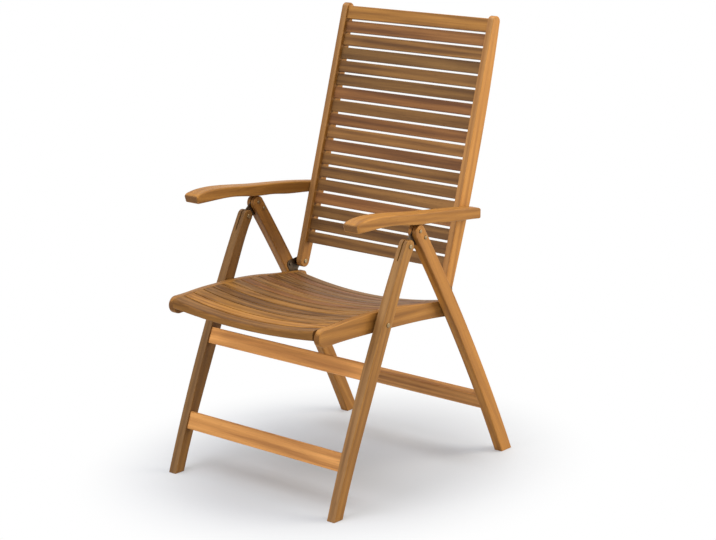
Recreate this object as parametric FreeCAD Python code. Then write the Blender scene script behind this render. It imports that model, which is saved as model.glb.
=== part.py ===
import FreeCAD, Part
import math
import os

os.makedirs("parts", exist_ok=True)

# Folding armchair with slatted seat and back, sitting upright on its four feet.
# Millimetres. +Z up, -Y is the front of the chair, +X is the sitter's left.
# The origin is on the floor under the middle of the overall box.

# Driving dimensions: layout across the chair
SHIFT = 72.5
LEG_IN = 245.0
LEG_OUT = 270.0
LEG_MID = (LEG_IN + LEG_OUT) / 2
RAIL_IN = 222.0
RAIL_OUT = 240.0
PLATE_IN = 243.0
SLIDE = 0.05
FIT = 0.05

# Driving dimensions: pivots, in the side view as (y, z)
P_LEG = (-139.5 + SHIFT, 605.5)
P_BACK = (48.0 + SHIFT, 460.0)
P_SEAT = (-220.9 + SHIFT, 432.9)
P_ARM = (106.0 + SHIFT, 644.0)

# Driving dimensions: legs
FRONT_FOOT_Y = -412.0 + SHIFT
FRONT_SLOPE = 0.4217
FRONT_BOW = 14.0
FRONT_SPAN = 614.0
FRONT_TOP_R = 15.5
FRONT_DEPTHS = [(0, 30.0), (100, 32.0), (200, 36.0), (300, 39.0),
                (400, 38.5), (500, 35.5), (570, 33.2)]
REAR_FOOT_Y = 246.0 + SHIFT
REAR_SLOPE = -0.5842
REAR_BOW = -15.0
REAR_SPAN = 650.0
REAR_DEPTH = 41.5
REAR_TOP_R = 17.75
REAR_TOP_Z = 650.4
LEG_ROUND = 2.5

# Driving dimensions: cross pieces between the legs
CROSS_T = 19.0
UPPER_Z = (311.0, 348.0)
LOWER_Z = (108.0, 149.0)
REAR_Z = (123.0, 163.0)
CROSS_SET_FRONT = 4.5
CROSS_SET_REAR = 6.5

# Driving dimensions: seat
SEAT_FIRST_Y = -394.0 + SHIFT
SEAT_PITCH = 32.8
SEAT_GAP = 3.0
SEAT_SLATS = 13
SEAT_DISH = 21.0
SLAT_T = 12.0
NOSE_FRONT_Y = -432.5 + SHIFT
RAIL_NOSE_R = 21.0
RAIL_NOSE = (-409.0 + SHIFT, 435.0)

# Driving dimensions: back
LEAN = math.atan(0.287)
BACK_REF = (126.2 + SHIFT, 790.5)
SLAT_SET = 10.0
BACK_PITCH = 34.3
BACK_GAP = 5.3
BACK_FIRST_GAP = 290.0
BACK_SLATS = 17
TOP_RAIL_S = 326.0
STILE_TOP_S = 334.0
STILE_ROUND = 2.0
STILE_DEPTHS = [(318.0, 28.0), (280.0, 31.0), (220.0, 34.8), (130.0, 39.0), (40.0, 41.0),
                (-60.0, 41.2), (-150.0, 39.8), (-250.0, 36.0)]
STILE_FOOT_R = 16.0

# Driving dimensions: arms
ARM_OUT = 274.0
ARM_NARROW_IN = 242.5
ARM_WIDE_IN = 229.0
ARM_REAR_Y = 129.0 + SHIFT
ARM_CORNER = 5.0
EASE_FRONT_Y = -260.0 + SHIFT
EASE_REAR_Y = -8.0 + SHIFT
ARM_TOP_ROUND = 5.0
ARM_LOW_ROUND = 4.0

# Driving dimensions: hardware
FORK_PLATE_T = 3.0
FORK_DEPTH = 30.0
REAR_FORK_DEPTH = 18.0
PLATE_R = 10.0
PIN_R = 3.5
RIVET_R = 2.5
HEAD_R = 5.5
HEAD_T = 2.3
LEG_RIVETS = [(-102.3 + SHIFT, 636.0), (-82.8 + SHIFT, 617.9)]
BACK_SCREWS = [(13.0 + SHIFT, 455.2), (26.6 + SHIFT, 431.8)]


def pt(x, y, z):
    return FreeCAD.Vector(x, y, z)


def save(shape, node):
    if shape.Volume <= 0:
        raise ValueError("empty shape " + node)
    shape.exportStep("parts/" + node + ".step")


def both_sides(shape, node):
    # Left is the modelled +X side, right is its mirror image.
    save(shape, node + "_left")
    save(mirrored(shape), node + "_right")


def mirrored(shape):
    return shape.mirror(pt(0, 0, 0), pt(1, 0, 0))


def curve(points, x):
    # Smooth edge through side-view points.
    spline = Part.BSplineCurve()
    spline.interpolate([pt(x, y, z) for y, z in points])
    return spline.toShape()


def line(a, b, x):
    return Part.makeLine(pt(x, a[0], a[1]), pt(x, b[0], b[1]))


def arc(a, b, c, x):
    return Part.Arc(pt(x, a[0], a[1]), pt(x, b[0], b[1]), pt(x, c[0], c[1])).toShape()


def side_prism(edges, x0, x1):
    # Board whose side view is the closed outline, from x0 to x1.
    face = Part.Face(Part.Wire(edges))
    return face.extrude(pt(x1 - x0, 0, 0))


def rod(x0, x1, centre, radius):
    return Part.makeCylinder(radius, x1 - x0, pt(x0, centre[0], centre[1]), pt(1, 0, 0))


def softened(shape, radius, along_x=False):
    # Rounds the long edges: the ones across X for boards, or the ones along X.
    chosen = []
    for edge in shape.Edges:
        box = edge.BoundBox
        if along_x and box.XLength > 20 and box.YLength < 0.01 + box.XLength * 0.02:
            chosen.append(edge)
        if not along_x and box.XLength < 0.01:
            chosen.append(edge)
    return shape.makeFillet(radius, chosen)


# Front leg outline
def front_edge(z):
    u = z / FRONT_SPAN
    return FRONT_FOOT_Y + FRONT_SLOPE * z - FRONT_BOW * 4 * u * (1 - u)


def rear_edge(z):
    u = z / REAR_SPAN
    return REAR_FOOT_Y + REAR_SLOPE * z - REAR_BOW * 4 * u * (1 - u)


def on_circle(centre, radius, degrees):
    a = math.radians(degrees)
    return (centre[0] + radius * math.cos(a), centre[1] + radius * math.sin(a))


def cross_piece(edge_of, z_range, inset):
    # Board between the legs, its broad face parallel to the leg's front edge.
    low = (edge_of(z_range[0]) + inset, z_range[0])
    high = (edge_of(z_range[1]) + inset, z_range[1])
    length = math.hypot(high[0] - low[0], high[1] - low[1])
    normal = ((high[1] - low[1]) / length, -(high[0] - low[0]) / length)
    high_back = (high[0] + CROSS_T * normal[0], high[1] + CROSS_T * normal[1])
    low_back = (low[0] + CROSS_T * normal[0], low[1] + CROSS_T * normal[1])
    corners = [low, high, high_back, low_back]
    edges = []
    for i in range(4):
        edges.append(line(corners[i], corners[(i + 1) % 4], -LEG_IN))
    return softened(side_prism(edges, -LEG_IN, LEG_IN), 2.5, True)


def forked(leg, low_z, width):
    # Slot through the middle of a leg's top, for the hinge plate.
    slot = Part.makeBox(width, 2000, 400, pt(LEG_MID - width / 2, -1000, low_z))
    return leg.cut(slot)


def front_leg_shape():
    x0 = LEG_IN
    top_front = on_circle(P_LEG, FRONT_TOP_R, 157)
    top_mid = on_circle(P_LEG, FRONT_TOP_R, 67)
    top_rear = on_circle(P_LEG, FRONT_TOP_R, -23)
    front_points = [(front_edge(z), float(z)) for z in range(0, 571, 95)] + [top_front]
    rear_points = [(front_edge(z) + d, float(z)) for z, d in FRONT_DEPTHS] + [top_rear]
    edges = [curve(front_points, x0)]
    edges.append(arc(top_front, top_mid, top_rear, x0))
    edges.append(curve(list(reversed(rear_points)), x0))
    edges.append(line(rear_points[0], front_points[0], x0))
    leg = softened(side_prism(edges, x0, LEG_OUT), LEG_ROUND)
    leg = forked(leg, P_LEG[1] - FORK_DEPTH, FORK_PLATE_T + 4 * SLIDE)
    leg = leg.cut(rod(x0 - 1, LEG_OUT + 1, P_LEG, PIN_R))
    leg = leg.cut(rod(x0 - 1, LEG_OUT + 1, P_SEAT, PIN_R + FIT))
    return leg


def rear_leg_shape():
    half = REAR_DEPTH / 2
    top_z = REAR_TOP_Z - REAR_TOP_R
    centre = (rear_edge(top_z) + half - 0.3, top_z)
    top_front = on_circle(centre, REAR_TOP_R, 210)
    top_mid = on_circle(centre, REAR_TOP_R, 120)
    top_rear = on_circle(centre, REAR_TOP_R, 30)
    heights = [0.0, 120.0, 240.0, 360.0, 480.0, 570.0]
    front_points = [(rear_edge(z), z) for z in heights] + [top_front]
    rear_points = [(rear_edge(z) + REAR_DEPTH, z) for z in heights] + [top_rear]
    edges = [curve(front_points, LEG_IN)]
    edges.append(arc(top_front, top_mid, top_rear, LEG_IN))
    edges.append(curve(list(reversed(rear_points)), LEG_IN))
    edges.append(line(rear_points[0], front_points[0], LEG_IN))
    leg = softened(side_prism(edges, LEG_IN, LEG_OUT), LEG_ROUND)
    leg = forked(leg, LEG_RIVETS[1][1] - REAR_FORK_DEPTH, FORK_PLATE_T)
    for spot in LEG_RIVETS:
        leg = leg.cut(rod(LEG_IN - 1, LEG_OUT + 1, spot, RIVET_R))
    for spot in BACK_SCREWS:
        leg = leg.cut(rod(LEG_IN - 1, LEG_IN + 16, spot, RIVET_R))
    return leg


def hinge_plate(pivot, spots, x0, x1):
    # Flat steel plate: a rounded triangle around the pivot and its two fixings.
    points = [pivot] + spots
    corners = [pt(x0, y, z) for y, z in points]
    hull = Part.Face(Part.makePolygon(corners + [corners[0]])).extrude(pt(x1 - x0, 0, 0))
    for i in range(3):
        a = points[i]
        b = points[(i + 1) % 3]
        length = math.hypot(b[0] - a[0], b[1] - a[1])
        off = (-(b[1] - a[1]) / length * PLATE_R, (b[0] - a[0]) / length * PLATE_R)
        quad = [(a[0] + off[0], a[1] + off[1]), (b[0] + off[0], b[1] + off[1]),
                (b[0] - off[0], b[1] - off[1]), (a[0] - off[0], a[1] - off[1])]
        quad = [pt(x0, y, z) for y, z in quad]
        strip = Part.Face(Part.makePolygon(quad + [quad[0]])).extrude(pt(x1 - x0, 0, 0))
        hull = hull.fuse(strip)
        hull = hull.fuse(rod(x0, x1, a, PLATE_R))
    hull = hull.removeSplitter()
    hull = hull.cut(rod(x0 - 1, x1 + 1, pivot, PIN_R + FIT))
    for spot in spots:
        hull = hull.cut(rod(x0 - 1, x1 + 1, spot, RIVET_R))
    return hull


def headed(x_in, x_out, centre, shank_r, head_r, outer_head=True):
    # Shank with a head at each end, the heads outside the x range.
    solid = rod(x_in - HEAD_T, x_out, centre, shank_r)
    solid = solid.fuse(rod(x_in - HEAD_T, x_in, centre, head_r))
    if outer_head:
        solid = solid.fuse(rod(x_out, x_out + HEAD_T, centre, head_r))
    solid = solid.removeSplitter()
    rims = []
    for edge in solid.Edges:
        box = edge.BoundBox
        at_end = abs(box.XMin - (x_in - HEAD_T)) < 0.01
        if outer_head:
            at_end = at_end or abs(box.XMin - (x_out + HEAD_T)) < 0.01
        if box.XLength < 0.01 and at_end and box.YLength > 2 * head_r - 0.1:
            rims.append(edge)
    return solid.makeFillet(1.2, rims)


# Rear legs and their cross piece
both_sides(rear_leg_shape(), "rear_leg")
save(cross_piece(rear_edge, REAR_Z, CROSS_SET_REAR), "rear_stretcher")

# Hinge plates: one in the forked leg tops, one on the rear leg's inner face
fork_in = LEG_MID - FORK_PLATE_T / 2
both_sides(hinge_plate(P_LEG, LEG_RIVETS, fork_in, fork_in + FORK_PLATE_T), "leg_hinge_plate")
both_sides(hinge_plate(P_BACK, BACK_SCREWS, PLATE_IN, LEG_IN), "back_hinge_plate")

# Rivets through the rear legs, heads on both faces
rivets = [headed(LEG_IN, LEG_OUT, spot, RIVET_R, 4.5) for spot in LEG_RIVETS]
save(Part.makeCompound(rivets + [mirrored(r) for r in rivets]), "leg_hinge_rivets")

# Screws that hold the back's hinge plates, heads inside only
screws = [headed(PLATE_IN, LEG_IN + 16, spot, RIVET_R, 4.5, False) for spot in BACK_SCREWS]
save(Part.makeCompound(screws + [mirrored(s) for s in screws]), "back_hinge_screws")

# Front legs and their cross pieces
both_sides(front_leg_shape(), "front_leg")
save(cross_piece(front_edge, UPPER_Z, CROSS_SET_FRONT), "upper_front_stretcher")
save(cross_piece(front_edge, LOWER_Z, CROSS_SET_FRONT), "lower_front_stretcher")

# Pivot rivets of the front legs, turning in the hinge plates
pivot = headed(LEG_IN, LEG_OUT, P_LEG, PIN_R, HEAD_R)
save(Part.makeCompound([pivot, mirrored(pivot)]), "leg_pivot_rivets")

# Seat rail side view: round nose, crowned top, thinner towards the rear
RAIL_TOP = [(-371.0, 457.0), (-330.0, 459.3), (-270.0, 460.0), (-200.0, 459.2), (-150.0, 456.2),
            (-105.0, 451.5), (-60.0, 445.3), (-5.0, 439.2), (40.0, 435.0)]
RAIL_TOP = [(RAIL_NOSE[0], RAIL_NOSE[1] + RAIL_NOSE_R)] + [(y + SHIFT, z) for y, z in RAIL_TOP]
RAIL_END_TOP = (54.0 + SHIFT, 425.0)
RAIL_END_LOW = (54.0 + SHIFT, 401.0)
RAIL_LOW = [(42.0, 394.0), (-52.0, 403.0), (-159.0, 409.0), (-263.0, 413.0), (-340.0, 415.0)]
RAIL_LOW = [(y + SHIFT, z) for y, z in RAIL_LOW] + [(RAIL_NOSE[0], RAIL_NOSE[1] - RAIL_NOSE_R)]


def rail_top_z(y):
    # Height of the rail's top at y, by straight steps between its points.
    points = RAIL_TOP + [(54.0 + SHIFT, 433.5)]
    for i in range(len(points) - 1):
        if y <= points[i + 1][0]:
            a = points[i]
            b = points[i + 1]
            return a[1] + (b[1] - a[1]) * (y - a[0]) / (b[0] - a[0])
    return points[-1][1]


def seat_rail_shape():
    edges = [curve(RAIL_TOP, RAIL_IN)]
    edges.append(arc(RAIL_TOP[-1], (50.8 + SHIFT, 431.5), RAIL_END_TOP, RAIL_IN))
    edges.append(line(RAIL_END_TOP, RAIL_END_LOW, RAIL_IN))
    edges.append(arc(RAIL_END_LOW, (50.3 + SHIFT, 395.6), RAIL_LOW[0], RAIL_IN))
    edges.append(curve(RAIL_LOW, RAIL_IN))
    nose_tip = (RAIL_NOSE[0] - RAIL_NOSE_R, RAIL_NOSE[1])
    edges.append(arc(RAIL_LOW[-1], nose_tip, RAIL_TOP[0], RAIL_IN))
    rail = softened(side_prism(edges, RAIL_IN, RAIL_OUT), 2.5)
    rail = rail.cut(rod(RAIL_IN - 1, RAIL_OUT + 1, P_SEAT, PIN_R))
    return rail


def dished_bar(y0, z0, y1, z1, thickness, dish, low_dish):
    # Slat whose top sags towards the middle, pushed from y0 to y1.
    top = Part.Arc(pt(-RAIL_IN, y0, z0), pt(0, y0, z0 - dish), pt(RAIL_IN, y0, z0)).toShape()
    low_z = z0 - thickness
    low = Part.Arc(pt(RAIL_IN, y0, low_z), pt(0, y0, low_z - low_dish), pt(-RAIL_IN, y0, low_z)).toShape()
    right = Part.makeLine(pt(RAIL_IN, y0, z0), pt(RAIL_IN, y0, low_z))
    left = Part.makeLine(pt(-RAIL_IN, y0, low_z), pt(-RAIL_IN, y0, z0))
    face = Part.Face(Part.Wire([top, right, low, left]))
    return face.extrude(pt(0, y1 - y0, z1 - z0))


def long_edges(shape, y_near, z_low, z_high):
    # The arcs that run across the chair on one face of a dished bar.
    found = []
    for edge in shape.Edges:
        box = edge.BoundBox
        in_band = z_low < box.Center.z < z_high
        if box.XLength > 400 and abs(box.Center.y - y_near) < 1.0 and in_band:
            found.append(edge)
    return found


both_sides(seat_rail_shape(), "seat_rail")

# Nose slat across the front of the seat, its front edges rounded
nose_rear = SEAT_FIRST_Y - SEAT_GAP / 2
nose = dished_bar(NOSE_FRONT_Y, 455.0, nose_rear, 455.0, 24.0, SEAT_DISH, 13.0)
nose = nose.makeFillet(4.0, long_edges(nose, NOSE_FRONT_Y, 410.0, 432.0))
nose = nose.makeFillet(8.0, long_edges(nose, NOSE_FRONT_Y, 438.0, 460.0))
save(nose, "seat_nose_slat")

# Seat slats, following the crown of the rails
for k in range(SEAT_SLATS):
    y0 = SEAT_FIRST_Y + SEAT_PITCH * k + SEAT_GAP / 2
    y1 = SEAT_FIRST_Y + SEAT_PITCH * (k + 1) - SEAT_GAP / 2
    bar = dished_bar(y0, rail_top_z(y0) - 0.5, y1, rail_top_z(y1) - 0.5, SLAT_T, SEAT_DISH, SEAT_DISH)
    tops = []
    for edge in bar.Edges:
        if edge.BoundBox.XLength > 400:
            tops.append(edge)
    bar = bar.makeFillet(1.5, tops)
    save(bar, "seat_slat_%02d" % (k + 1))

# Seat bolts through the front legs, with spacers between leg and rail
bolt = headed(RAIL_IN, LEG_OUT + SLIDE, P_SEAT, PIN_R, HEAD_R)
save(Part.makeCompound([bolt, mirrored(bolt)]), "seat_bolts")
spacer = rod(RAIL_OUT, LEG_IN - SLIDE, P_SEAT, 9.0).cut(rod(RAIL_OUT - 1, LEG_IN + 1, P_SEAT, PIN_R))
save(Part.makeCompound([spacer, mirrored(spacer)]), "seat_spacers")


# Back: s runs up along the stile, d runs from its front edge to the rear
def back_point(s, d):
    y = BACK_REF[0] + s * math.sin(LEAN) + d * math.cos(LEAN)
    z = BACK_REF[1] + s * math.cos(LEAN) - d * math.sin(LEAN)
    return (y, z)


def back_board(s0, s1, d0, d1, radius):
    corners = [back_point(s0, d0), back_point(s1, d0), back_point(s1, d1), back_point(s0, d1)]
    edges = []
    for i in range(4):
        edges.append(line(corners[i], corners[(i + 1) % 4], -RAIL_IN))
    return softened(side_prism(edges, -RAIL_IN, RAIL_IN), radius, True)


def stile_shape():
    lean_deg = math.degrees(LEAN)
    foot_front = on_circle(P_BACK, STILE_FOOT_R, 180 - lean_deg)
    foot_mid = on_circle(P_BACK, STILE_FOOT_R, 270 - lean_deg)
    foot_rear = on_circle(P_BACK, STILE_FOOT_R, -lean_deg)
    head_front = back_point(STILE_TOP_S - 11, 0)
    head_mid = back_point(STILE_TOP_S, 13)
    rear_points = [back_point(s, d) for s, d in STILE_DEPTHS] + [foot_rear]
    edges = [line(foot_front, head_front, RAIL_IN)]
    edges.append(arc(head_front, head_mid, rear_points[0], RAIL_IN))
    edges.append(curve(rear_points, RAIL_IN))
    edges.append(arc(foot_rear, foot_mid, foot_front, RAIL_IN))
    stile = softened(side_prism(edges, RAIL_IN, RAIL_OUT), STILE_ROUND)
    stile = stile.cut(rod(RAIL_IN - 1, RAIL_OUT + 1, P_BACK, PIN_R))
    stile = stile.cut(rod(RAIL_IN + 4, RAIL_OUT + 1, P_ARM, 4.0 + FIT))
    return stile


both_sides(stile_shape(), "back_stile")
rail_low_s = BACK_FIRST_GAP + BACK_GAP / 2
save(back_board(rail_low_s, TOP_RAIL_S, 6.0, 24.0, 2.5), "back_top_rail")
for k in range(BACK_SLATS):
    s1 = BACK_FIRST_GAP - BACK_PITCH * k - BACK_GAP / 2
    s0 = BACK_FIRST_GAP - BACK_PITCH * (k + 1) + BACK_GAP / 2
    save(back_board(s0, s1, SLAT_SET, SLAT_SET + SLAT_T, 1.5), "back_slat_%02d" % (k + 1))

# Back pivot pins with a washer between stile and plate
pin = headed(RAIL_IN, LEG_IN + SLIDE, P_BACK, PIN_R, HEAD_R)
pin = pin.fuse(rod(RAIL_OUT, PLATE_IN - SLIDE, P_BACK, 8.0))
save(Part.makeCompound([pin, mirrored(pin)]), "back_pivot_pins")

# Armrest side view: the hand end rolls over its square front, the rear is thinner and lower
ARM_TOP = [(-337.0, 684.0), (-333.5, 689.0), (-322.0, 692.9), (-306.0, 695.4), (-285.0, 696.6),
           (-262.0, 696.6), (-240.0, 695.4), (-190.0, 690.6), (-130.0, 683.5), (-60.0, 677.0),
           (0.0, 671.5), (69.0, 663.5), (129.0, 655.0)]
ARM_LOW = [(129.0, 628.5), (78.0, 633.5), (35.0, 637.0), (4.0, 640.0), (-46.0, 647.0),
           (-100.0, 651.6), (-136.0, 656.3), (-174.0, 662.4), (-212.0, 667.0), (-260.0, 668.6),
           (-332.0, 668.6)]
ARM_TOP = [(y + SHIFT, z) for y, z in ARM_TOP]
ARM_LOW = [(y + SHIFT, z) for y, z in ARM_LOW]


def rounded_rims(arm, top, radius):
    # Rounds the whole rim around the arm's top, or around its underside.
    rims = []
    for edge in arm.Edges:
        box = edge.BoundBox
        y = box.Center.y
        middle = 0.5 * (profile_z(ARM_TOP, y) + profile_z(ARM_LOW, y))
        upright = box.ZLength > 12 and box.XLength < 1 and box.YLength < 1
        if not upright and (box.Center.z > middle) == top:
            rims.append(edge)
    return arm.makeFillet(radius, rims)


def profile_z(points, y):
    # Height of a side-view line at y, by straight steps between its points.
    row = sorted(points)
    for a, b in zip(row, row[1:]):
        if y <= b[0]:
            return a[1] + (b[1] - a[1]) * (y - a[0]) / (b[0] - a[0])
    return row[-1][1]


def arm_shape():
    x0 = ARM_WIDE_IN
    edges = [curve(ARM_TOP, x0)]
    edges.append(line(ARM_TOP[-1], ARM_LOW[0], x0))
    edges.append(curve(ARM_LOW, x0))
    edges.append(line(ARM_LOW[-1], ARM_TOP[0], x0))
    side = side_prism(edges, x0, ARM_OUT)
    # Plan view: wide hand rest, its inner edge easing outwards to pass the back's stile
    plan_z = 600.0
    plan_rise = 120.0
    past_front = ARM_TOP[0][0] - 10
    pull = 0.4 * (EASE_REAR_Y - EASE_FRONT_Y)
    front_in = pt(x0, past_front, plan_z)
    front_out = pt(ARM_OUT, past_front, plan_z)
    rear_in = pt(ARM_NARROW_IN, ARM_REAR_Y, plan_z)
    rear_out = pt(ARM_OUT, ARM_REAR_Y, plan_z)
    ease_rear = pt(ARM_NARROW_IN, EASE_REAR_Y, plan_z)
    ease_front = pt(x0, EASE_FRONT_Y, plan_z)
    plan = [Part.makeLine(front_in, front_out)]
    plan.append(Part.makeLine(front_out, rear_out))
    plan.append(Part.makeLine(rear_out, rear_in))
    plan.append(Part.makeLine(rear_in, ease_rear))
    ease = Part.BSplineCurve()
    ease.buildFromPoles([ease_rear, pt(ARM_NARROW_IN, EASE_REAR_Y - pull, plan_z),
                         pt(x0, EASE_FRONT_Y + pull, plan_z), ease_front])
    plan.append(ease.toShape())
    plan.append(Part.makeLine(ease_front, front_in))
    column = Part.Face(Part.Wire(plan)).extrude(pt(0, 0, plan_rise))
    arm = side.common(column)
    corners = []
    for edge in arm.Edges:
        box = edge.BoundBox
        if box.XLength < 0.01 and box.ZLength > 12 and box.YMax < ARM_LOW[-1][0] + 1:
            corners.append(edge)
    arm = arm.makeFillet(ARM_CORNER, corners)
    arm = rounded_rims(arm, True, ARM_TOP_ROUND)
    arm = rounded_rims(arm, False, ARM_LOW_ROUND)
    arm = arm.cut(rod(ARM_NARROW_IN - 1, ARM_OUT - 6, P_ARM, 4.0))
    return arm


both_sides(arm_shape(), "armrest")

# Arm pivot pins: blind in the arm, turning in the stile, with a collar between
arm_pin = rod(RAIL_IN + 4 + SLIDE, ARM_OUT - 6, P_ARM, 4.0)
arm_pin = arm_pin.fuse(rod(RAIL_OUT + SLIDE, ARM_NARROW_IN, P_ARM, 9.0))
both_sides(arm_pin, "arm_pivot_pin")
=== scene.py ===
import math

import bpy
from mathutils import Matrix, Vector

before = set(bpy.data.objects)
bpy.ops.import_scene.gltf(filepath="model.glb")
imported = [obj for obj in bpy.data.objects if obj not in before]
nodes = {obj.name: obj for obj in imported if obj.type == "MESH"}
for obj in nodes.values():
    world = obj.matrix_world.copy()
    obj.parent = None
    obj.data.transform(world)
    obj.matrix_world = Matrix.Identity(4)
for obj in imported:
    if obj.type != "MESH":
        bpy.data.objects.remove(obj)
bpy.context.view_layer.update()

scene = bpy.context.scene

# Leans of the chair's boards, in radians about X
STILE_LEAN = math.atan(0.287)
FRONT_LEG_LEAN = math.atan(0.4232)
REAR_LEG_LEAN = math.atan(-0.5842)
SEAT_RAIL_SLOPE = 0.035
ARM_SLOPE = math.radians(4.9)

ALONG_X = (1.0, 0.0, 0.0)
ALONG_Y = (0.0, 1.0, 0.0)
ALONG_Z = (0.0, 0.0, 1.0)
FORWARD = (0.0, -1.0, 0.0)

WHITE = (1.0, 1.0, 1.0, 1.0)


# small helpers for node trees

def value_node(tree, operation, a, b=None, clamp=False):
    node = tree.nodes.new("ShaderNodeMath")
    node.operation = operation
    node.use_clamp = clamp
    for socket, given in zip(node.inputs, (a, b)):
        if given is None:
            continue
        if isinstance(given, (int, float)):
            socket.default_value = given
        else:
            tree.links.new(given, socket)
    return node.outputs[0]


def plus_share(tree, total, value, share, clamp=False):
    part = value_node(tree, "MULTIPLY", value, share)
    return value_node(tree, "ADD", total, part, clamp)


def vector_node(tree, operation, a, b=None, c=None, out=0):
    node = tree.nodes.new("ShaderNodeVectorMath")
    node.operation = operation
    for socket, given in zip(node.inputs, (a, b, c)):
        if given is None:
            continue
        if isinstance(given, (tuple, list)):
            socket.default_value = given
        else:
            tree.links.new(given, socket)
    return node.outputs[out]


def range_node(tree, value, low, high, to_low=0.0, to_high=1.0, smooth=True):
    node = tree.nodes.new("ShaderNodeMapRange")
    node.interpolation_type = "SMOOTHSTEP" if smooth else "LINEAR"
    tree.links.new(value, node.inputs["Value"])
    node.inputs["From Min"].default_value = low
    node.inputs["From Max"].default_value = high
    node.inputs["To Min"].default_value = to_low
    node.inputs["To Max"].default_value = to_high
    return node.outputs["Result"]


def colour_mix(tree, amount, a, b, blend="MIX"):
    node = tree.nodes.new("ShaderNodeMix")
    node.data_type = "RGBA"
    node.blend_type = blend
    node.clamp_factor = True
    for socket, given in ((node.inputs[0], amount), (node.inputs[6], a), (node.inputs[7], b)):
        if isinstance(given, (int, float)):
            socket.default_value = given
        elif isinstance(given, (tuple, list)):
            socket.default_value = (given[0], given[1], given[2], 1.0)
        else:
            tree.links.new(given, socket)
    return node.outputs[2]


def shaded_by(tree, colour, value):
    # The colour, lightened or darkened by one value
    grey = tree.nodes.new("ShaderNodeCombineColor")
    for channel in range(3):
        tree.links.new(value, grey.inputs[channel])
    return colour_mix(tree, 1.0, colour, grey.outputs[0], "MULTIPLY")


def noise_node(tree, vector, scale, detail, roughness, distortion=0.0):
    node = tree.nodes.new("ShaderNodeTexNoise")
    tree.links.new(vector, node.inputs["Vector"])
    node.inputs["Scale"].default_value = scale
    node.inputs["Detail"].default_value = detail
    node.inputs["Roughness"].default_value = roughness
    node.inputs["Distortion"].default_value = distortion
    return node.outputs["Fac"]


def new_surface_group(name, inputs):
    # A group that puts out a surface's colour, roughness and height
    tree = bpy.data.node_groups.new(name, "ShaderNodeTree")
    for label, kind, default in inputs:
        socket = tree.interface.new_socket(name=label, in_out="INPUT", socket_type=kind)
        socket.default_value = default
    tree.interface.new_socket(name="Color", in_out="OUTPUT", socket_type="NodeSocketColor")
    tree.interface.new_socket(name="Roughness", in_out="OUTPUT", socket_type="NodeSocketFloat")
    tree.interface.new_socket(name="Height", in_out="OUTPUT", socket_type="NodeSocketFloat")
    return tree, tree.nodes.new("NodeGroupInput"), tree.nodes.new("NodeGroupOutput")


def new_material(name):
    material = bpy.data.materials.new(name)
    material.use_nodes = True
    material.node_tree.nodes.clear()
    return material, material.node_tree


# oiled hardwood: growth bands, fibres, pores, end grain, rubbed edges with a painted highlight,
# front faces with a painted sheen

END_GRAIN_SHADE = (0.66, 0.64, 0.64)
# pale tone of the rounded edges: partly wear, partly painted highlight
RUBBED_EDGE_AND_HIGHLIGHT_SHADE = (1.25, 1.22, 1.2)


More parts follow.
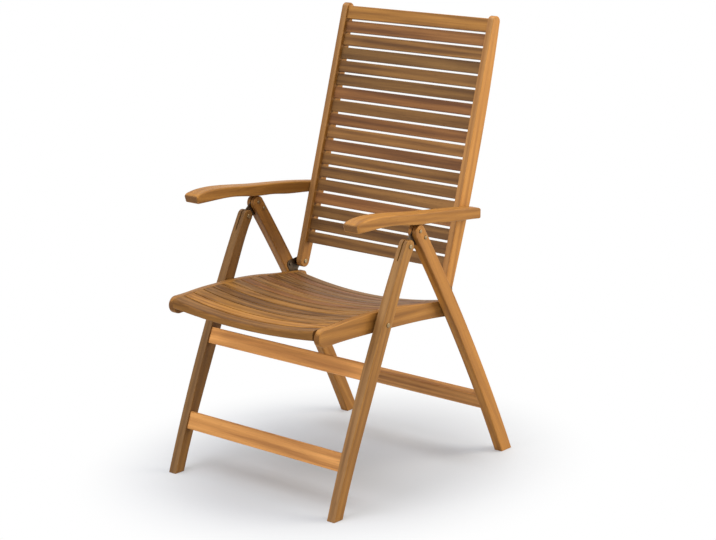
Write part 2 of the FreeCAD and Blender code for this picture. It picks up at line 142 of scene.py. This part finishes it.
def build_hardwood_figure():
    tree, given, out = new_surface_group(
        "hardwood_figure",
        [
            ("Vector", "NodeSocketVector", (0.0, 0.0, 0.0)),
            ("Normal", "NodeSocketVector", ALONG_Z),
            ("Grain Axis", "NodeSocketVector", ALONG_X),
            ("Pale", "NodeSocketColor", (0.5, 0.25, 0.08, 1.0)),
            ("Middle", "NodeSocketColor", (0.4, 0.18, 0.05, 1.0)),
            ("Dark", "NodeSocketColor", (0.2, 0.08, 0.03, 1.0)),
            ("Band Strength", "NodeSocketFloat", 1.0),
            ("Edge Rub And Highlight", "NodeSocketFloat", 0.5),
            ("Front Sheen Tint", "NodeSocketColor", WHITE),
        ],
    )
    place = given.outputs["Vector"]
    axis = given.outputs["Grain Axis"]
    normal = given.outputs["Normal"]
    pale = given.outputs["Pale"]
    middle = given.outputs["Middle"]
    dark = given.outputs["Dark"]

    def stretched(along, across):
        # The same place, scaled one way along the grain and another across it
        gap = along - across
        factors = vector_node(tree, "MULTIPLY_ADD", axis, (gap, gap, gap), (across, across, across))
        return vector_node(tree, "MULTIPLY", place, factors)

    # Growth bands: wavy lines a few millimetres apart that run with the grain
    waves = tree.nodes.new("ShaderNodeTexWave")
    waves.wave_type = "BANDS"
    waves.bands_direction = "DIAGONAL"
    waves.wave_profile = "SIN"
    tree.links.new(stretched(0.35, 17.0), waves.inputs["Vector"])
    waves.inputs["Scale"].default_value = 1.7
    waves.inputs["Distortion"].default_value = 9.0
    waves.inputs["Detail"].default_value = 2.5
    waves.inputs["Detail Scale"].default_value = 0.55
    waves.inputs["Detail Roughness"].default_value = 0.55
    bands = waves.outputs["Fac"]

    streaks = noise_node(tree, stretched(2.2, 62.0), 1.0, 4.0, 0.6, 0.35)
    fibres = noise_node(tree, stretched(9.0, 420.0), 1.0, 4.0, 0.65)
    broad = noise_node(tree, stretched(2.4, 9.0), 1.0, 2.0, 0.5)
    pores = noise_node(tree, stretched(55.0, 900.0), 1.0, 2.0, 0.5)

    mixed = value_node(tree, "MULTIPLY", bands, 0.2)
    mixed = plus_share(tree, mixed, streaks, 0.8)
    mixed = plus_share(tree, mixed, broad, 0.52)
    tone = range_node(tree, mixed, 0.5, 1.02, smooth=False)
    centred = value_node(tree, "SUBTRACT", tone, 0.5)
    tone = value_node(tree, "MULTIPLY", centred, given.outputs["Band Strength"])
    tone = value_node(tree, "ADD", tone, 0.5, clamp=True)

    # Three tones, pale to dark
    lower = range_node(tree, tone, 0.0, 0.5, smooth=False)
    upper = range_node(tree, tone, 0.5, 1.0, smooth=False)
    wood = colour_mix(tree, lower, pale, middle)
    wood = colour_mix(tree, upper, wood, dark)

    # Fibres lighten and darken the surface a little, pores are short dark dashes
    fibre_tone = range_node(tree, fibres, 0.3, 0.7, 0.86, 1.12, smooth=False)
    wood = shaded_by(tree, wood, fibre_tone)
    pore_mask = range_node(tree, pores, 0.6, 0.72)
    pore_amount = value_node(tree, "MULTIPLY", pore_mask, 0.38)
    wood = colour_mix(tree, pore_amount, wood, dark)

    # End grain where the surface faces along the grain: darker, with fine rings
    facing = vector_node(tree, "DOT_PRODUCT", normal, axis, out=1)
    facing = value_node(tree, "ABSOLUTE", facing)
    end_mask = range_node(tree, facing, 0.72, 0.94)
    rings = tree.nodes.new("ShaderNodeTexWave")
    rings.wave_type = "RINGS"
    rings.rings_direction = "SPHERICAL"
    tree.links.new(stretched(0.0, 1.0), rings.inputs["Vector"])
    rings.inputs["Scale"].default_value = 95.0
    rings.inputs["Distortion"].default_value = 2.2
    rings.inputs["Detail"].default_value = 2.0
    end_tone = colour_mix(tree, rings.outputs["Fac"], middle, dark)
    end_tone = colour_mix(tree, 1.0, end_tone, END_GRAIN_SHADE, "MULTIPLY")
    wood = colour_mix(tree, end_mask, wood, end_tone)

    # Rounded edges, where the normal leaves the board's own directions, are rubbed pale and carry a
    # painted highlight
    upright = vector_node(tree, "ABSOLUTE", normal)
    parts = tree.nodes.new("ShaderNodeSeparateXYZ")
    tree.links.new(upright, parts.inputs[0])
    biggest = value_node(tree, "MAXIMUM", parts.outputs[0], parts.outputs[1])
    biggest = value_node(tree, "MAXIMUM", biggest, parts.outputs[2])
    turned = value_node(tree, "SUBTRACT", 1.0, biggest)
    edge = range_node(tree, turned, 0.03, 0.2)
    wear_and_highlight = noise_node(tree, stretched(18.0, 60.0), 1.0, 3.0, 0.6)
    wear_and_highlight = range_node(tree, wear_and_highlight, 0.38, 0.62)
    rub_and_highlight = value_node(tree, "MULTIPLY", edge, wear_and_highlight)
    rub_and_highlight = value_node(tree, "MULTIPLY", rub_and_highlight, given.outputs["Edge Rub And Highlight"])
    rub_and_highlight_tone = colour_mix(tree, 1.0, pale, RUBBED_EDGE_AND_HIGHLIGHT_SHADE, "MULTIPLY")
    wood = colour_mix(tree, rub_and_highlight, wood, rub_and_highlight_tone)

    # The board's front face takes its own tint, a painted sheen
    forward = vector_node(tree, "DOT_PRODUCT", normal, FORWARD, out=1)
    forward = range_node(tree, forward, 0.6, 0.9)
    sheen_tinted = colour_mix(tree, 1.0, wood, given.outputs["Front Sheen Tint"], "MULTIPLY")
    wood = colour_mix(tree, forward, wood, sheen_tinted)
    tree.links.new(wood, out.inputs["Color"])

    # Oil sits unevenly: roughness varies with the streaks, pores and end grain are dull
    rough = value_node(tree, "MULTIPLY", streaks, 0.16)
    rough = value_node(tree, "ADD", rough, 0.4)
    rough = plus_share(tree, rough, pore_mask, 0.18)
    rough = plus_share(tree, rough, end_mask, 0.2, clamp=True)
    tree.links.new(rough, out.inputs["Roughness"])

    relief = value_node(tree, "MULTIPLY", fibres, 0.55)
    relief = plus_share(tree, relief, bands, 0.2)
    pore_depth = value_node(tree, "MULTIPLY", pore_mask, 0.5)
    relief = value_node(tree, "SUBTRACT", relief, pore_depth)
    tree.links.new(relief, out.inputs["Height"])
    return tree


# dull plated steel: brushed marks and a brown tarnish

def build_plated_steel():
    tree, given, out = new_surface_group(
        "plated_steel",
        [
            ("Vector", "NodeSocketVector", (0.0, 0.0, 0.0)),
            ("Bright", "NodeSocketColor", (0.55, 0.5, 0.42, 1.0)),
            ("Tarnish", "NodeSocketColor", (0.16, 0.11, 0.07, 1.0)),
            ("Tarnish Amount", "NodeSocketFloat", 0.4),
        ],
    )
    blotch = noise_node(tree, given.outputs["Vector"], 140.0, 4.0, 0.6)
    brushed = vector_node(tree, "MULTIPLY", given.outputs["Vector"], (2500.0, 160.0, 2500.0))
    scratch = noise_node(tree, brushed, 1.0, 3.0, 0.6)
    stained = range_node(tree, blotch, 0.35, 0.65)
    stained = value_node(tree, "MULTIPLY", stained, given.outputs["Tarnish Amount"])
    metal = colour_mix(tree, stained, given.outputs["Bright"], given.outputs["Tarnish"])
    line = range_node(tree, scratch, 0.3, 0.7, 0.88, 1.1)
    metal = shaded_by(tree, metal, line)
    tree.links.new(metal, out.inputs["Color"])
    rough = value_node(tree, "MULTIPLY", stained, 0.3)
    rough = value_node(tree, "ADD", rough, 0.3)
    tree.links.new(rough, out.inputs["Roughness"])
    tree.links.new(scratch, out.inputs["Height"])
    return tree


hardwood_figure = build_hardwood_figure()
plated_steel = build_plated_steel()


# materials

WOOD_BUMP_STRENGTH = 0.35
WOOD_BUMP_DEPTH = 0.0005
STEEL_BUMP_STRENGTH = 0.2
STEEL_BUMP_DEPTH = 0.0001
STEEL_GLOSS = 0.5


def place_group(tree, group, values):
    node = tree.nodes.new("ShaderNodeGroup")
    node.node_tree = group
    for label, value in values.items():
        node.inputs[label].default_value = value
    return node


def finish_surface(tree, group_node, metallic, gloss, bump_strength, bump_depth):
    shader = tree.nodes.new("ShaderNodeBsdfPrincipled")
    shader.inputs["Metallic"].default_value = metallic
    shader.inputs["Specular IOR Level"].default_value = gloss
    tree.links.new(group_node.outputs["Color"], shader.inputs["Base Color"])
    tree.links.new(group_node.outputs["Roughness"], shader.inputs["Roughness"])
    bump = tree.nodes.new("ShaderNodeBump")
    bump.inputs["Strength"].default_value = bump_strength
    bump.inputs["Distance"].default_value = bump_depth
    tree.links.new(group_node.outputs["Height"], bump.inputs["Height"])
    tree.links.new(bump.outputs["Normal"], shader.inputs["Normal"])
    output = tree.nodes.new("ShaderNodeOutputMaterial")
    tree.links.new(shader.outputs["BSDF"], output.inputs["Surface"])


def oiled_wood(name, tones, axis, lean, seed, band_strength, edge_rub_and_highlight, gloss, front_sheen_tint):
    # lean turns the board upright or level, so bands and edges follow its own directions
    material, tree = new_material(name)
    where = tree.nodes.new("ShaderNodeTexCoord")
    turned_place = tree.nodes.new("ShaderNodeVectorRotate")
    turned_normal = tree.nodes.new("ShaderNodeVectorRotate")
    for node, source in ((turned_place, "Object"), (turned_normal, "Normal")):
        node.rotation_type = "X_AXIS"
        node.inputs["Angle"].default_value = lean
        tree.links.new(where.outputs[source], node.inputs["Vector"])
    moved = vector_node(tree, "ADD", turned_place.outputs[0], seed)
    pale, middle, dark = tones
    figure = place_group(tree, hardwood_figure, {
        "Grain Axis": axis,
        "Pale": pale,
        "Middle": middle,
        "Dark": dark,
        "Band Strength": band_strength,
        "Edge Rub And Highlight": edge_rub_and_highlight,
        "Front Sheen Tint": front_sheen_tint,
    })
    tree.links.new(moved, figure.inputs["Vector"])
    tree.links.new(turned_normal.outputs[0], figure.inputs["Normal"])
    finish_surface(tree, figure, 0.0, gloss, WOOD_BUMP_STRENGTH, WOOD_BUMP_DEPTH)
    return material


def hardware_metal(name, bright, tarnish, amount):
    material, tree = new_material(name)
    where = tree.nodes.new("ShaderNodeTexCoord")
    steel = place_group(tree, plated_steel, {
        "Bright": bright,
        "Tarnish": tarnish,
        "Tarnish Amount": amount,
    })
    tree.links.new(where.outputs["Object"], steel.inputs["Vector"])
    finish_surface(tree, steel, 1.0, STEEL_GLOSS, STEEL_BUMP_STRENGTH, STEEL_BUMP_DEPTH)
    return material


def dress(node_name, material):
    mesh = nodes[node_name].data
    mesh.materials.clear()
    mesh.materials.append(material)


# tones: pale, middle and dark of each kind of board

HONEY = ((0.49, 0.228, 0.05), (0.38, 0.167, 0.034), (0.215, 0.086, 0.018))
SAND = ((0.46, 0.222, 0.064), (0.35, 0.157, 0.042), (0.2, 0.081, 0.022))
TAN = ((0.42, 0.2, 0.046), (0.31, 0.14, 0.03), (0.18, 0.075, 0.017))
WALNUT = ((0.24, 0.119, 0.034), (0.165, 0.078, 0.022), (0.09, 0.04, 0.012))
RUSSET = ((0.222, 0.098, 0.03), (0.155, 0.065, 0.02), (0.084, 0.033, 0.011))

# The frame's narrow front faces are painted paler and pinker than its sides, as a painted sheen
FRONT_SHEEN_TINT = (0.9, 1.0, 1.5, 1.0)


def shaded_tone(colour, shade, warmth):
    # A lighter or darker colour; warmth moves it from brown towards red
    red = colour[0] * shade * (1.0 + warmth)
    green = colour[1] * shade
    blue = colour[2] * shade * (1.0 - warmth)
    return (red, green, blue, 1.0)


def seed_for(index):
    # Each board is cut from another place of the figure
    return (0.37 * index, 1.13 * index + 0.21, 0.71 * index + 0.43)


board_count = 0


def board(node_name, tones, axis, lean, shade, warmth, band_strength,
          edge_rub_and_highlight=0.4, gloss=0.18, front_sheen_tint=WHITE):
    global board_count
    board_count += 1
    shades = [shaded_tone(colour, shade, warmth) for colour in tones]
    material = oiled_wood("wood_" + node_name, shades, axis, lean, seed_for(board_count),
                          band_strength, edge_rub_and_highlight, gloss, front_sheen_tint)
    dress(node_name, material)


# frame boards; the shades are of front leg, rear leg, back stile, seat rail and armrest, and the
# right-hand row holds painted shade

FRAME_SHADES_AND_PAINTED_SHADE = (
    ("left", (0.79, 0.98, 1.02, 0.87, 0.88)),
    # painted shade: the right-hand boards are painted darker than the left-hand ones, for the shade
    # on that side
    ("right", (0.51, 0.7448, 0.7752, 0.6612, 0.8)),
)
for side, (front_leg, rear_leg, stile, rail, arm) in FRAME_SHADES_AND_PAINTED_SHADE:
    board("front_leg_" + side, HONEY, ALONG_Z, FRONT_LEG_LEAN, front_leg, -0.02, 0.8,
          front_sheen_tint=FRONT_SHEEN_TINT)
    board("rear_leg_" + side, HONEY, ALONG_Z, REAR_LEG_LEAN, rear_leg, 0.02, 0.8)
    board("back_stile_" + side, HONEY, ALONG_Z, STILE_LEAN, stile, 0.02, 0.8,
          edge_rub_and_highlight=0.5, gloss=0.16, front_sheen_tint=FRONT_SHEEN_TINT)
    board("seat_rail_" + side, HONEY, ALONG_Y, SEAT_RAIL_SLOPE, rail, 0.0, 0.8)
    board("armrest_" + side, HONEY, ALONG_Y, ARM_SLOPE, arm, 0.0, 0.7,
          gloss=0.14, front_sheen_tint=FRONT_SHEEN_TINT)

# painted light: the upper stretcher sits in the seat's shade and is painted lighter than the other
# stretchers
board("upper_front_stretcher", SAND, ALONG_X, FRONT_LEG_LEAN, 1.75, 0.0, 0.9)
board("lower_front_stretcher", SAND, ALONG_X, FRONT_LEG_LEAN, 1.42, 0.0, 0.9)
board("rear_stretcher", SAND, ALONG_X, REAR_LEG_LEAN, 1.3, 0.0, 1.0)

# seat boards from front to rear, each with its own shade and warmth

SEAT_SHADE = 0.9
SEAT_BOARDS = (
    (HONEY, 0.95, 0.0),
    (TAN, 0.9, 0.0),
    (WALNUT, 1.15, 0.02),
    (WALNUT, 1.1, 0.04),
    (TAN, 0.9, 0.0),
    (WALNUT, 1.3, 0.0),
    (RUSSET, 1.3, 0.02),
    (WALNUT, 1.35, 0.0),
    (RUSSET, 1.25, 0.0),
    (WALNUT, 1.1, 0.03),
    (WALNUT, 1.15, 0.0),
    (RUSSET, 1.12, 0.02),
    (WALNUT, 1.1, 0.0),
)
for k, (tones, shade, warmth) in enumerate(SEAT_BOARDS):
    board("seat_slat_%02d" % (k + 1), tones, ALONG_X, 0.0, shade * SEAT_SHADE, warmth, 1.25,
          edge_rub_and_highlight=0.2, gloss=0.1)
# painted shade: the nose slat is painted darker than the seat boards, for the shade on its
# front-facing side
board("seat_nose_slat", TAN, ALONG_X, 0.0, 0.54, 0.04, 1.2, gloss=0.12)

# back boards from top to foot, each with its own shade and warmth

BACK_BOARDS = (
    (RUSSET, 1.12, 0.0),
    (WALNUT, 1.12, 0.02),
    (WALNUT, 0.86, -0.03),
    (WALNUT, 0.94, 0.02),
    (WALNUT, 0.8, 0.0),
    (RUSSET, 1.3, 0.0),
    (WALNUT, 0.82, 0.02),
    (RUSSET, 1.02, 0.02),
    (WALNUT, 1.36, 0.02),
    (RUSSET, 1.1, 0.0),
    (WALNUT, 0.93, 0.03),
    (WALNUT, 0.95, 0.0),
    (WALNUT, 1.05, 0.02),
    (RUSSET, 1.28, 0.02),
    (WALNUT, 0.92, 0.0),
    (WALNUT, 0.8, 0.02),
    (WALNUT, 1.0, 0.0),
)
for k, (tones, shade, warmth) in enumerate(BACK_BOARDS):
    board("back_slat_%02d" % (k + 1), tones, ALONG_X, STILE_LEAN, shade, warmth, 1.25,
          edge_rub_and_highlight=0.3)
board("back_top_rail", TAN, ALONG_X, STILE_LEAN, 0.98, 0.0, 1.0)

# hardware

rivet_steel = hardware_metal("rivet_steel", (0.33, 0.24, 0.13, 1.0), (0.12, 0.07, 0.032, 1.0), 0.5)
plate_steel = hardware_metal("plate_steel", (0.11, 0.078, 0.05, 1.0), (0.04, 0.026, 0.016, 1.0), 0.6)
RIVETS = (
    "leg_hinge_rivets", "leg_pivot_rivets", "seat_bolts", "back_pivot_pins",
    "arm_pivot_pin_left", "arm_pivot_pin_right",
)
PLATES = (
    "leg_hinge_plate_left", "leg_hinge_plate_right", "back_hinge_plate_left",
    "back_hinge_plate_right", "back_hinge_screws", "seat_spacers",
)
for name in RIVETS:
    dress(name, rivet_steel)
for name in PLATES:
    dress(name, plate_steel)


# floor, backdrop and light

FLOOR_HALF = 9.0
# painted shade: grey floor colour around the chair, fading to white further out
FLOOR_PAINTED_SHADE = (0.55, 0.57, 0.605, 1.0)
SHADE_HALF_WIDTH = 0.62
SHADE_HALF_DEPTH = 0.74
SHADE_FULL_UNTIL = 0.4
ROOM_COLOUR = (1.0, 0.99, 0.97, 1.0)
ROOM_LIGHT = 0.36


def seen_or_mirrored(tree):
    # 1 for what the camera sees and for reflections, 0 for the light on other things
    rays = tree.nodes.new("ShaderNodeLightPath")
    return value_node(tree, "MAXIMUM", rays.outputs["Is Camera Ray"], rays.outputs["Is Glossy Ray"])


def mixed_into(tree, amount, first, second, output_kind):
    mix = tree.nodes.new("ShaderNodeMixShader")
    tree.links.new(amount, mix.inputs[0])
    tree.links.new(first.outputs[0], mix.inputs[1])
    tree.links.new(second.outputs[0], mix.inputs[2])
    output = tree.nodes.new(output_kind)
    tree.links.new(mix.outputs[0], output.inputs["Surface"])


def make_floor():
    mesh = bpy.data.meshes.new("studio_floor")
    corners = [
        (-FLOOR_HALF, -FLOOR_HALF, 0.0),
        (FLOOR_HALF, -FLOOR_HALF, 0.0),
        (FLOOR_HALF, FLOOR_HALF, 0.0),
        (-FLOOR_HALF, FLOOR_HALF, 0.0),
    ]
    mesh.from_pydata(corners, [], [(0, 1, 2, 3)])
    floor = bpy.data.objects.new("studio_floor", mesh)
    scene.collection.objects.link(floor)
    material, tree = new_material("studio_floor_white_and_painted_shade")
    painted_shade_floor = tree.nodes.new("ShaderNodeBsdfPrincipled")
    painted_shade_floor.inputs["Base Color"].default_value = FLOOR_PAINTED_SHADE
    painted_shade_floor.inputs["Roughness"].default_value = 0.9
    painted_shade_floor.inputs["Specular IOR Level"].default_value = 0.1
    white = tree.nodes.new("ShaderNodeEmission")
    white.inputs["Strength"].default_value = 1.0
    # Near the chair the floor is painted grey as painted shade, under the lamps' own shadows; away
    # from the chair it fades to the white of the backdrop
    where = tree.nodes.new("ShaderNodeTexCoord")
    spread = (1.0 / SHADE_HALF_WIDTH, 1.0 / SHADE_HALF_DEPTH, 0.0)
    reach = vector_node(tree, "MULTIPLY", where.outputs["Object"], spread)
    away = vector_node(tree, "LENGTH", reach, out=1)
    fade = range_node(tree, away, SHADE_FULL_UNTIL, 1.0)
    fade = value_node(tree, "MULTIPLY", fade, seen_or_mirrored(tree))
    mixed_into(tree, fade, painted_shade_floor, white, "ShaderNodeOutputMaterial")
    mesh.materials.append(material)


def make_world():
    world = bpy.data.worlds.new("studio_white")
    world.use_nodes = True
    scene.world = world
    tree = world.node_tree
    tree.nodes.clear()
    room = tree.nodes.new("ShaderNodeBackground")
    room.inputs["Color"].default_value = ROOM_COLOUR
    room.inputs["Strength"].default_value = ROOM_LIGHT
    white = tree.nodes.new("ShaderNodeBackground")
    white.inputs["Color"].default_value = WHITE
    white.inputs["Strength"].default_value = 1.0
    mixed_into(tree, seen_or_mirrored(tree), room, white, "ShaderNodeOutputWorld")


def aim(thing, position, target, roll=0.0):
    look = (Vector(target) - Vector(position)).normalized()
    turn = look.to_track_quat("-Z", "Y").to_matrix().to_4x4()
    thing.matrix_world = Matrix.Translation(position) @ turn @ Matrix.Rotation(roll, 4, "Z")


def make_lamp(name, position, target, size, watts, colour):
    lamp = bpy.data.lights.new(name, "AREA")
    lamp.shape = "SQUARE"
    lamp.size = size
    lamp.energy = watts
    lamp.color = colour
    thing = bpy.data.objects.new(name, lamp)
    scene.collection.objects.link(thing)
    aim(thing, position, target)


make_floor()
make_world()
make_lamp("right_softbox", (3.0, 2.2, 1.6), (0.0, 0.0, 0.5), 2.4, 130.0, (1.0, 0.93, 0.79))
make_lamp("front_softbox", (-0.6, -3.8, 1.4), (0.0, 0.0, 0.4), 2.2, 76.0, (1.0, 0.98, 1.04))
make_lamp("top_softbox", (0.0, -0.1, 3.2), (0.0, 0.0, 0.4), 4.6, 138.0, (1.0, 1.0, 1.0))

# camera at the photograph's viewing angle

CAMERA_AT = (3.0173, -3.5514, 1.6451)
CAMERA_TARGET = (-0.0055, 0.0725, 0.4793)
CAMERA_ROLL = math.radians(0.139)
SENSOR_MM = 36.0
LENS_MM = 98.27
lens = bpy.data.cameras.new("view_camera")
lens.sensor_fit = "HORIZONTAL"
lens.sensor_width = SENSOR_MM
lens.lens = LENS_MM
camera = bpy.data.objects.new("view_camera", lens)
scene.collection.objects.link(camera)
aim(camera, CAMERA_AT, CAMERA_TARGET, CAMERA_ROLL)
scene.camera = camera

scene.view_settings.view_transform = "Standard"
